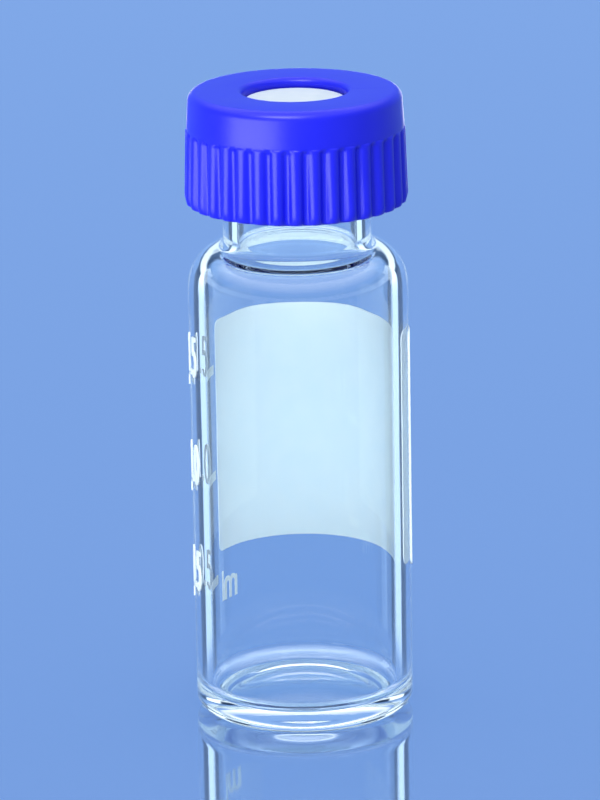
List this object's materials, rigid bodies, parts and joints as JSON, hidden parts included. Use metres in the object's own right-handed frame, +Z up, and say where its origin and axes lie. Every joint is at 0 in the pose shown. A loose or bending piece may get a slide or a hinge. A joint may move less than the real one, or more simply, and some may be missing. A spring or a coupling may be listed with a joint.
{
  "type": "glass sample vial",
  "caption": "Small clear glass sample vial with a rounded shoulder, a white writing patch and volume marks, closed by a septum under a ribbed open-top screw cap.",
  "frame": {"origin": "centre of the foot ring that the vial stands on", "axes": "+Z up the vial's axis, towards the cap; the middle of the writing patch faces +Y, a little to +X"},
  "size_m": [0.0118, 0.0118, 0.0337],
  "materials": {
    "glass": "clear drawn borosilicate tube",
    "cap": "moulded polypropylene, satin gloss",
    "septum": "die-cut silicone disc",
    "print": "fired white screen print, matt"
  },
  "bodies": {
    "vial": {"glass_vial": "glass", "writing_patch": "print", "graduation_marks": "print"},
    "septum": {"septum": "septum"},
    "cap": {"screw_cap": "cap"}
  },
  "joints": [
    {"name": "cap_lift", "type": "slide", "parent": "vial", "child": "septum", "axis": [0, 0, 1], "range_m": [0, 0.00187]},
    {"name": "cap_turn", "type": "hinge", "parent": "septum", "child": "cap", "pos_m": [0, 0, 0.0307], "axis": [0, 0, 1], "range_deg": [0, 450]}
  ],
  "couplings": [
    {"joint": "cap_turn", "follows": "cap_lift", "rad_per_m": 4188.8}
  ]
}
